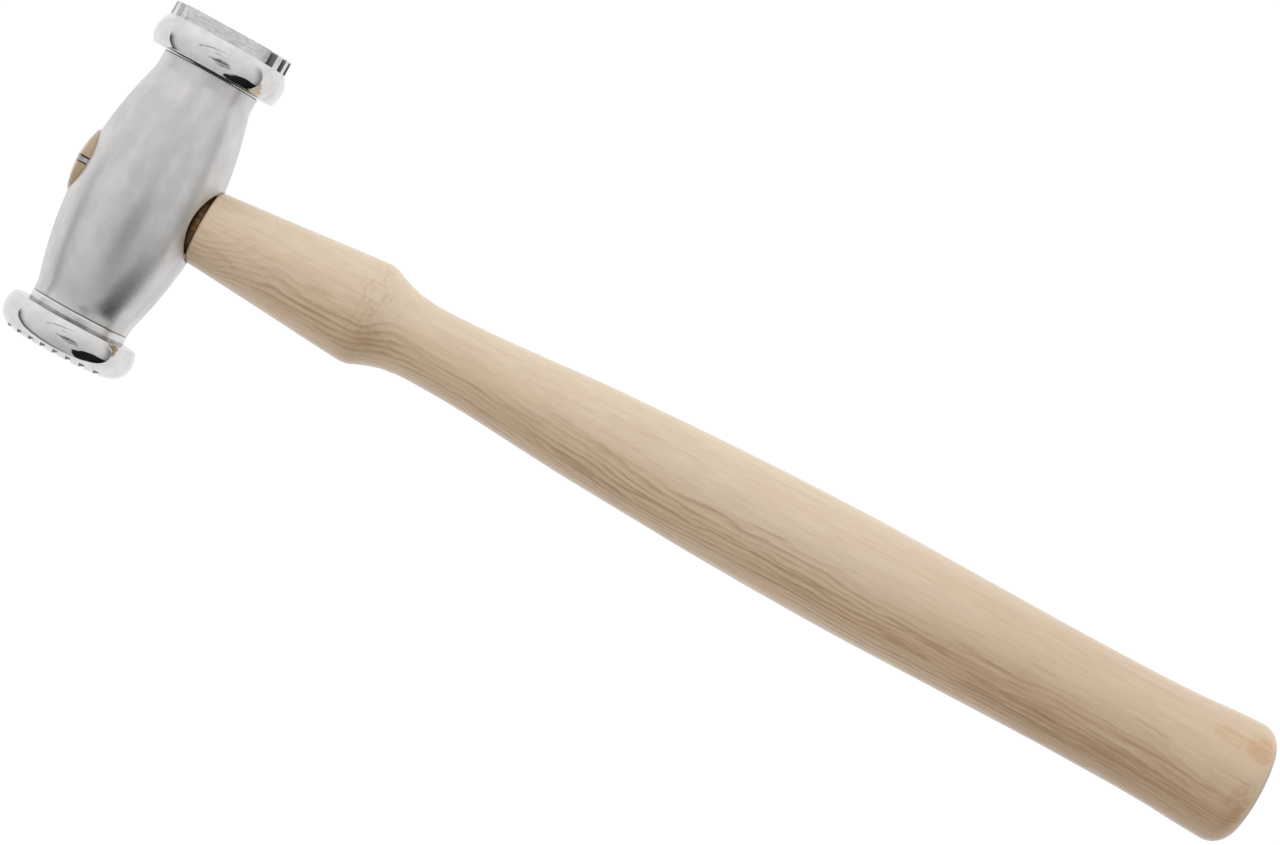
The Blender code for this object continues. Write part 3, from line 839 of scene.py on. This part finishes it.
# long single grain marks: (x0, y0, x1, y1, half width, strength), millimetres
GRAIN_MARKS = (
    (108.0, -0.7, 127.0, 0.5, 0.11, 0.55), (118.0, -3.45, 149.0, -2.8, 0.12, 0.60),
    (82.0, 1.6, 106.0, 0.1, 0.10, 0.40), (126.0, 1.1, 133.0, 1.45, 0.13, 0.55),
    (100.0, -4.2, 116.0, -3.7, 0.12, 0.50), (88.0, -4.6, 104.0, -5.5, 0.12, 0.55),
    (167.0, 0.55, 181.0, -0.2, 0.13, 0.60), (195.0, 0.25, 231.0, -1.05, 0.12, 0.70),
    (203.0, 4.0, 211.5, 3.45, 0.12, 0.50), (219.0, 3.45, 229.0, 3.2, 0.12, 0.45),
    (182.0, 3.75, 188.0, 3.85, 0.11, 0.45), (169.0, 3.7, 173.0, 3.7, 0.10, 0.40),
    (171.0, -3.4, 199.0, -3.75, 0.12, 0.55), (155.0, -1.5, 170.0, -2.3, 0.12, 0.50),
    (155.0, -4.6, 167.0, -5.0, 0.13, 0.60), (198.0, -4.3, 222.0, -5.2, 0.14, 0.55),
    (172.0, -5.4, 200.0, -5.9, 0.12, 0.50), (200.0, -2.6, 222.0, -3.4, 0.12, 0.45),
    (34.0, 0.55, 41.0, 0.65, 0.11, 0.45), (60.0, -0.9, 84.0, -1.9, 0.12, 0.45),
    (26.0, -4.4, 45.0, -4.5, 0.12, 0.40), (24.0, -3.2, 44.0, -3.3, 0.10, 0.35))


def hardwood():
    s = new_material("pale_hardwood")
    b = s.bsdf
    x, y, z = s.x, s.y, s.z
    # growth layers lie on a slant: one flank meets them flat and stays plain,
    # the other cuts through them and shows their edges as fine wavy lines
    warp = s.noise(s.vec((0.028, 0.09, 0.09), src=s.mm), 3.0, 0.5)
    warp2 = s.noise(s.vec((0.13, 0.35, 0.35), (5.0, 1.0, 2.0), src=s.mm), 2.0, 0.5)
    wave = s.add(s.mul(s.math("SUBTRACT", warp, 0.5), 5.0),
                 s.mul(s.math("SUBTRACT", warp2, 0.5), 1.1))
    climb = s.add(s.ramp(x, 10.0, 31.0, 0.0, 5.2), s.ramp(x, 40.0, 58.0, 0.0, 1.6),
                  s.ramp(x, 60.0, 110.0, 0.0, -1.5))
    depth = s.add(s.mul(y, 0.52), s.mul(z, 0.854), s.mul(climb, -1.0), wave)
    layer = s.math("DIVIDE", depth, 0.98)
    saw = s.math("FRACT", layer)
    index = s.math("FLOOR", layer)
    line = s.mul(s.ramp(saw, 0.45, 0.86), s.ramp(saw, 1.0, 0.92))
    run = s.noise(s.combine(s.mul(x, 0.035), s.mul(index, 7.31), 0.0), 2.0, 0.6)
    breaks = s.noise(s.combine(s.mul(x, 0.22), s.mul(y, 1.6), s.mul(z, 1.6)), 2.0, 0.6)
    fine = s.math("FRACT", s.add(s.mul(layer, 2.63), s.mul(warp2, 1.2)))
    fine_line = s.mul(s.ramp(fine, 0.5, 0.9), s.ramp(fine, 1.0, 0.93))
    edge = s.add(y, s.mul(s.math("SUBTRACT", warp, 0.5), 9.0))
    fore = s.ramp(x, 22.0, 62.0, 0.50, 1.0)     # plainer wood next to the head
    lower = s.mul(s.ramp(edge, 3.2, -2.6), fore)
    deep = s.mul(s.ramp(y, -1.0, -7.5), fore)
    amount = s.mul(line, s.ramp(run, 0.36, 0.62, 0.25, 1.0), s.ramp(breaks, 0.34, 0.56, 0.35, 1.0),
                   s.add(s.mul(lower, 0.75), s.mul(deep, 0.25), 0.03))
    amount2 = s.mul(fine_line, s.ramp(breaks, 0.42, 0.62), s.add(s.mul(lower, 0.55), 0.06))

    # colour of the wood between the lines
    broad = s.noise(s.vec((0.012, 0.08, 0.08), (3.1, 0.4, 1.2), src=s.mm), 3.0, 0.55)
    mottle = s.noise(s.vec((0.10, 0.30, 0.30), (8.0, 3.0, 0.0), src=s.mm), 3.0, 0.6)
    fibre = s.noise(s.vec((0.16, 4.2, 4.2), src=s.mm), 3.0, 0.65)
    flake = s.noise(s.vec((0.85, 2.4, 2.4), (2.0, 9.0, 4.0), src=s.mm), 2.0, 0.6)
    # the +Y flank is lighter: partly the wood's own tone, partly painted light for the brighter +Y
    # side
    side = s.ramp(s.add(y, s.mul(s.math("SUBTRACT", broad, 0.5), 8.0)), -7.0, 6.5)
    col = s.mix(side, (0.600, 0.428, 0.248), (0.745, 0.604, 0.430))
    col = s.mix(s.mul(s.ramp(x, 45.0, 12.0), s.ramp(y, 3.0, -3.0), 0.45), col,
                (0.745, 0.560, 0.390))
    warm = s.mix(side, (0.430, 0.260, 0.110), (0.652, 0.498, 0.335))
    col = s.mix(s.ramp(s.add(x, s.mul(s.math("SUBTRACT", broad, 0.5), 60.0)), 135.0, 195.0),
                col, warm)
    col = s.mix(s.mul(s.ramp(mottle, 0.35, 0.70), 0.32), col, (0.680, 0.490, 0.345))
    col = s.mix(s.mul(s.ramp(broad, 0.55, 0.72), 0.18), col, (0.620, 0.490, 0.350))
    # each layer darkens slowly towards its edge, and long soft streaks run through
    slow = s.mul(s.ramp(saw, 0.05, 0.85), s.ramp(saw, 1.0, 0.90))
    col = s.mix(s.mul(slow, s.ramp(run, 0.30, 0.60, 0.4, 1.0), s.add(s.mul(lower, 0.34), 0.04)),
                col, (0.440, 0.275, 0.155))
    long_noise = s.noise(s.vec((0.045, 0.95, 0.95), (4.0, 2.0, 7.0), src=s.mm), 3.0, 0.6)
    col = s.mix(s.mul(s.ramp(long_noise, 0.50, 0.66), s.add(s.mul(lower, 0.40), 0.12)), col,
                (0.430, 0.265, 0.145))
    col = s.mix(s.mul(s.ramp(long_noise, 0.46, 0.32), 0.16), col, (0.790, 0.640, 0.480))
    col = s.mix(s.mul(s.ramp(fibre, 0.44, 0.66), 0.17), col, (0.500, 0.365, 0.240))
    col = s.mix(s.mul(s.ramp(fibre, 0.50, 0.30), 0.12), col, (0.860, 0.740, 0.580))
    col = s.mix(s.mul(s.ramp(flake, 0.62, 0.74), 0.18), col, (0.470, 0.320, 0.195))
    col = s.mix(s.mul(amount2, 0.34), col, (0.390, 0.245, 0.135))
    col = s.mix(s.mul(amount, s.ramp(x, 60.0, 150.0, 0.66, 0.86)), col, (0.330, 0.188, 0.088))

    # the longest single marks
    jitter = s.mul(s.math("SUBTRACT", warp2, 0.5), 0.9)
    marks = None
    for x0, y0, x1, y1, half, strength in GRAIN_MARKS:
        slope = (y1 - y0) / (x1 - x0)
        off = s.add(y, s.mul(x, -slope), jitter, slope * x0 - y0)
        plain = 0.62 if y0 > -1.0 else 1.0       # fainter on the plain flank
        m = s.mul(s.near(off, 0.0, half * 0.25, half * 3.6),
                  s.near(x, (x0 + x1) / 2.0, (x1 - x0) * 0.25, (x1 - x0) * 0.35),
                  strength * plain)
        marks = m if marks is None else s.math("MAXIMUM", marks, m)
    marks = s.mul(marks, s.ramp(breaks, 0.28, 0.50, 0.45, 1.0), s.ramp(z, -1.5, 1.0))
    col = s.mix(s.mul(marks, 0.95), col, (0.295, 0.165, 0.078))

    # browner wood and short ray flecks where the turning cuts across the knuckle
    knuckle = s.mul(s.near(x, 47.6, 1.0, 5.0), s.ramp(y, 4.0, -6.0))
    col = s.mix(s.mul(knuckle, 0.34), col, (0.400, 0.262, 0.140))
    rays = s.noise(s.vec((1.5, 0.50, 0.50), (1.0, 1.0, 5.0), src=s.mm), 2.0, 0.5)
    col = s.mix(s.mul(s.near(x, 46.2, 1.2, 3.2), s.ramp(rays, 0.44, 0.74), 0.38), col,
                (0.470, 0.290, 0.190))

    # two rubbed orange-brown stains and a streak near the butt
    blot = s.noise(s.vec((0.48, 0.62, 0.62), (0.5, 6.0, 1.0), src=s.mm), 3.0, 0.6)
    def patch(cx, cy, rx, ry):
        dx = s.math("DIVIDE", s.math("SUBTRACT", x, cx), rx)
        dy = s.math("DIVIDE", s.math("SUBTRACT", y, cy), ry)
        return s.ramp(s.add(s.mul(dx, dx), s.mul(dy, dy)), 1.3, 0.2)
    smear = s.noise(s.vec((0.10, 1.1, 1.1), (0.0, 3.0, 3.0), src=s.mm), 2.0, 0.5)
    stain = s.mul(s.math("MAXIMUM", s.mul(patch(220.6, 9.4, 3.8, 1.7), 0.60),
                         patch(226.8, 9.9, 3.6, 2.5)),
                  s.ramp(smear, 0.32, 0.62, 0.35, 1.0), s.ramp(z, -1.0, 1.0))
    col = s.mix(s.mul(stain, 0.78), col, (0.550, 0.300, 0.130))
    streak = s.mul(patch(226.8, -0.8, 2.2, 4.8), s.ramp(blot, 0.34, 0.62), s.ramp(z, -1.0, 1.0))
    col = s.mix(s.mul(streak, 0.36), col, (0.430, 0.235, 0.110))

    # end grain at the butt and at the tenon, and painted shade on the hidden part of the tenon
    # end grain at the butt, painted darker: partly the end grain's own tone, partly painted shade
    # along the butt's end
    end = s.ramp(x, BUTT_X - 2.1, BUTT_X - 1.15)
    col = s.mix(s.mul(end, s.ramp(x, BUTT_X - 0.75, BUTT_X - 0.35, 0.76, 0.45)), col,
                (0.190, 0.160, 0.125))
    tip = s.ramp(x, TENON_EDGE_X + 0.5, TENON_EDGE_X + 0.1)
    col = s.mix(s.mul(tip, 0.85), col, (0.900, 0.640, 0.360))
    # painted shade: the tenon's neck inside the eye is painted near black, less dark towards the
    # shoulder
    tenon_joint_painted_shade = s.mul(s.ramp(x, 4.0, 9.0), s.ramp(x, SHOULDER_X + 0.06, SHOULDER_X - 0.02))
    shade = s.add(s.ramp(x, SHOULDER_X - 1.5, SHOULDER_X - 0.7, 0.985, 0.80),
                  s.ramp(x, SHOULDER_X - 0.45, SHOULDER_X - 0.15, 0.0, 0.17))
    col = s.mix(s.mul(tenon_joint_painted_shade, shade), col, (0.035, 0.014, 0.004))
    # painted shade: a dark brown band on the shoulder's edge next to the head
    shoulder_painted_shade = s.mul(s.ramp(x, SHOULDER_X + 0.55, SHOULDER_X + 0.02), 0.45)
    col = s.mix(shoulder_painted_shade, col, (0.230, 0.140, 0.070))
    s.link(col, b.inputs["Base Color"])

    s.link(s.add(s.ramp(fibre, 0.3, 0.7, 0.46, 0.58), s.mul(amount, 0.05)),
           b.inputs["Roughness"])
    b.inputs["Sheen Weight"].default_value = 0.22
    b.inputs["Sheen Roughness"].default_value = 0.24
    b.inputs["Sheen Tint"].default_value = (0.84, 0.93, 1.0, 1.0)
    b.inputs["Coat Weight"].default_value = 0.85
    b.inputs["Coat Roughness"].default_value = 0.30
    n1 = s.bump(fibre, 0.00006, 0.45)
    n2 = s.bump(amount, 0.00007, -0.6, n1)
    n3 = s.bump(marks, 0.00010, -0.8, n2)
    n4 = s.bump(mottle, 0.00020, 0.25, n3)
    s.link(n4, b.inputs["Normal"])
    return s.mat


def tenon_neck_painted_shade():
    # the neck of the tenon just inside the eye: painted near black as shade, with no sheen,
    # browner where it meets the shoulder
    s = new_material("tenon_neck_painted_shade")
    b = s.bsdf
    grain = s.noise(s.vec((0.30, 2.4, 2.4), src=s.mm), 3.0, 0.6)
    near_shoulder = s.mul(s.ramp(s.x, SHOULDER_X - 1.7, SHOULDER_X - 0.5),
                          s.ramp(s.x, SHOULDER_X - 0.05, SHOULDER_X - 0.35),
                          s.ramp(s.y, 7.0, -1.0, 0.35, 1.0))
    col = s.mix(s.mul(near_shoulder, s.ramp(grain, 0.40, 0.60, 0.5, 1.0)),
                (0.010, 0.005, 0.002), (0.300, 0.165, 0.070))
    s.link(col, b.inputs["Base Color"])
    s.link(s.ramp(grain, 0.3, 0.7, 0.75, 0.95), b.inputs["Roughness"])
    b.inputs["Specular IOR Level"].default_value = 0.12
    s.link(s.bump(grain, 0.00008, 0.6), b.inputs["Normal"])
    return s.mat


# --------------------------------------------------------------------------
# build
# --------------------------------------------------------------------------
scene = bpy.context.scene
body = build_body()
grooved = build_grooved_face()
ribbed = build_ribbed_face()
handle = build_handle()
wedge = build_wedge()

for ob, mat in ((body, satin_steel()), (grooved, polished_steel("polished_steel_a", 1)),
                (ribbed, polished_steel("polished_steel_b", -1)), (handle, hardwood()),
                (wedge, wedge_steel())):
    ob.data.materials.clear()
    ob.data.materials.append(mat)

# the tenon's neck inside the eye gets the painted-shade material
handle.data.materials.append(tenon_neck_painted_shade())
for face in handle.data.polygons:
    if 3.0 * MM < face.center.x < (SHOULDER_X - 0.005) * MM:
        face.material_index = 1

for ob, node, slot in ((body, "head_body", "satin_steel"),
                       (grooved, "grooved_face", "polished_steel_grooved"),
                       (ribbed, "ribbed_face", "polished_steel_ribbed"),
                       (handle, "handle", "pale_hardwood"),
                       (wedge, "eye_wedge", "wedge_steel")):
    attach(ob, "root")
    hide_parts(node)

# --------------------------------------------------------------------------
# floor, light, camera
# --------------------------------------------------------------------------
floor_mesh = bpy.data.meshes.new("table_top")
S = 3.0
floor_mesh.from_pydata([(-S, -S, -0.0002), (S, -S, -0.0002), (S, S, -0.0002), (-S, S, -0.0002)],
                       [], [(0, 1, 2, 3)])
table = bpy.data.objects.new("table_top", floor_mesh)
scene.collection.objects.link(table)
tm = bpy.data.materials.new("lit_white_table")
tm.use_nodes = True
tb = tm.node_tree.nodes["Principled BSDF"]
tb.inputs["Base Color"].default_value = (0.14, 0.14, 0.14, 1.0)
tb.inputs["Roughness"].default_value = 0.9
tb.inputs["Specular IOR Level"].default_value = 0.0
tb.inputs["Emission Color"].default_value = (1.0, 1.0, 1.0, 1.0)
tb.inputs["Emission Strength"].default_value = 0.95
floor_mesh.materials.append(tm)

# a soft light tent, written as brightness over direction: brighter towards the
# grooved face, a thin darker line at the horizon, the dark shape of a person
# low on one side, and a few thin dark lines overhead
world = bpy.data.worlds.new("tent")
scene.world = world
world.use_nodes = True
w = Nodes(world.node_tree, "Generated")
bg = world.node_tree.nodes["Background"]
dx, dy, dz = w.xyz(w.co)
tone = w.add(w.mul(dy, 0.24), w.mul(dx, -0.07), 0.90)
inv = w.math("DIVIDE", 1.0, w.math("MAXIMUM", dz, 0.10))
px, py = w.mul(dx, inv), w.mul(dy, inv)
wob = w.noise(w.vec((7.0, 7.0, 7.0)), 3.0, 0.6)
wob_c = w.math("SUBTRACT", wob, 0.5)
up = w.ramp(dz, 0.15, 0.30)

# camera overhead: a soft grey spot
ax, ay = w.math("SUBTRACT", px, 0.30), w.math("SUBTRACT", py, -0.22)
spot = w.ramp(w.add(w.mul(ax, ax), w.mul(ay, ay)), 0.0, 0.11, 0.42, 0.0)


def stroke(x0, y0, x1, y1, half, bend, dark, wobble):
    """A thin dark line between two points of the overhead view."""
    length = math.hypot(x1 - x0, y1 - y0)
    tx, ty = (x1 - x0) / length, (y1 - y0) / length
    ox, oy = w.math("SUBTRACT", px, x0), w.math("SUBTRACT", py, y0)
    along = w.add(w.mul(ox, tx), w.mul(oy, ty))
    t = w.math("DIVIDE", along, length)
    arc = w.mul(w.mul(t, w.math("SUBTRACT", 1.0, t)), 4.0 * bend)
    across = w.add(w.mul(ox, -ty), w.mul(oy, tx), w.mul(arc, -1.0), w.mul(wob_c, wobble))
    return w.mul(w.near(across, 0.0, half * 0.6, half * 0.8), w.near(t, 0.5, 0.44, 0.08), dark, up)


strokes = (stroke(-0.60, 0.16, 0.26, 0.62, 0.045, 0.10, 0.55, 0.25),
           stroke(-0.16, -0.26, 0.52, -0.16, 0.050, 0.05, 0.75, 0.45),
           stroke(0.10, -0.42, 0.62, -0.30, 0.035, -0.04, 0.60, 0.40),
           stroke(-0.05, 0.18, 0.36, 0.26, 0.030, 0.05, 0.40, 0.35))
lines = strokes[0]
for st in strokes[1:]:
    lines = w.math("MAXIMUM", lines, st)

# the dark figure stands on the horizon and reaches 40 degrees up
bearing = w.math("ARCTAN2", dy, dx)
height = w.math("ARCSINE", dz)
u1 = w.math("ABSOLUTE", w.math("DIVIDE", w.math("ADD", bearing, 0.79), 0.51))
v1 = w.math("DIVIDE", height, 0.73)
ell = w.add(w.math("POWER", u1, 3.0), w.mul(v1, v1, v1), w.mul(wob_c, 0.9))
figure = w.mul(w.ramp(ell, 1.0, 0.84), w.ramp(dz, -0.02, 0.0), 0.975)

# the horizon line, strongest on the far side of the hammer's eye
far = w.mul(w.ramp(dy, 0.16, -0.16, 0.0, 0.94), w.ramp(dx, 0.3, -0.3))
near_side = w.ramp(w.add(dx, w.mul(dy, -0.15)), 0.60, 0.95, 0.0, 0.68)
rise = w.ramp(dz, 0.40, 0.0)
band = w.mul(rise, rise, w.math("MAXIMUM", far, near_side), w.ramp(dz, -0.10, -0.02))

light = w.mul(tone, w.math("SUBTRACT", 1.0, spot), w.math("SUBTRACT", 1.0, lines),
              w.math("SUBTRACT", 1.0, figure), w.math("SUBTRACT", 1.0, band))
w.link(light, bg.inputs["Strength"])
bg.inputs["Color"].default_value = (1.0, 0.995, 0.99, 1.0)

cam_data = bpy.data.cameras.new("camera")
cam = bpy.data.objects.new("camera", cam_data)
scene.collection.objects.link(cam)
cam_data.sensor_fit = "HORIZONTAL"
cam_data.sensor_width = 36.0
cam_data.lens = 36.0 * 3400.0 / 1280.0
cam_data.clip_start = 0.01
cam.location = PLACE.translation + Vector((0.09936, 0.007643, 0.621996))
cam.rotation_euler = (0.0, 0.0, 0.502997)
scene.camera = cam
scene.view_settings.view_transform = "Standard"

bpy.context.view_layer.update()
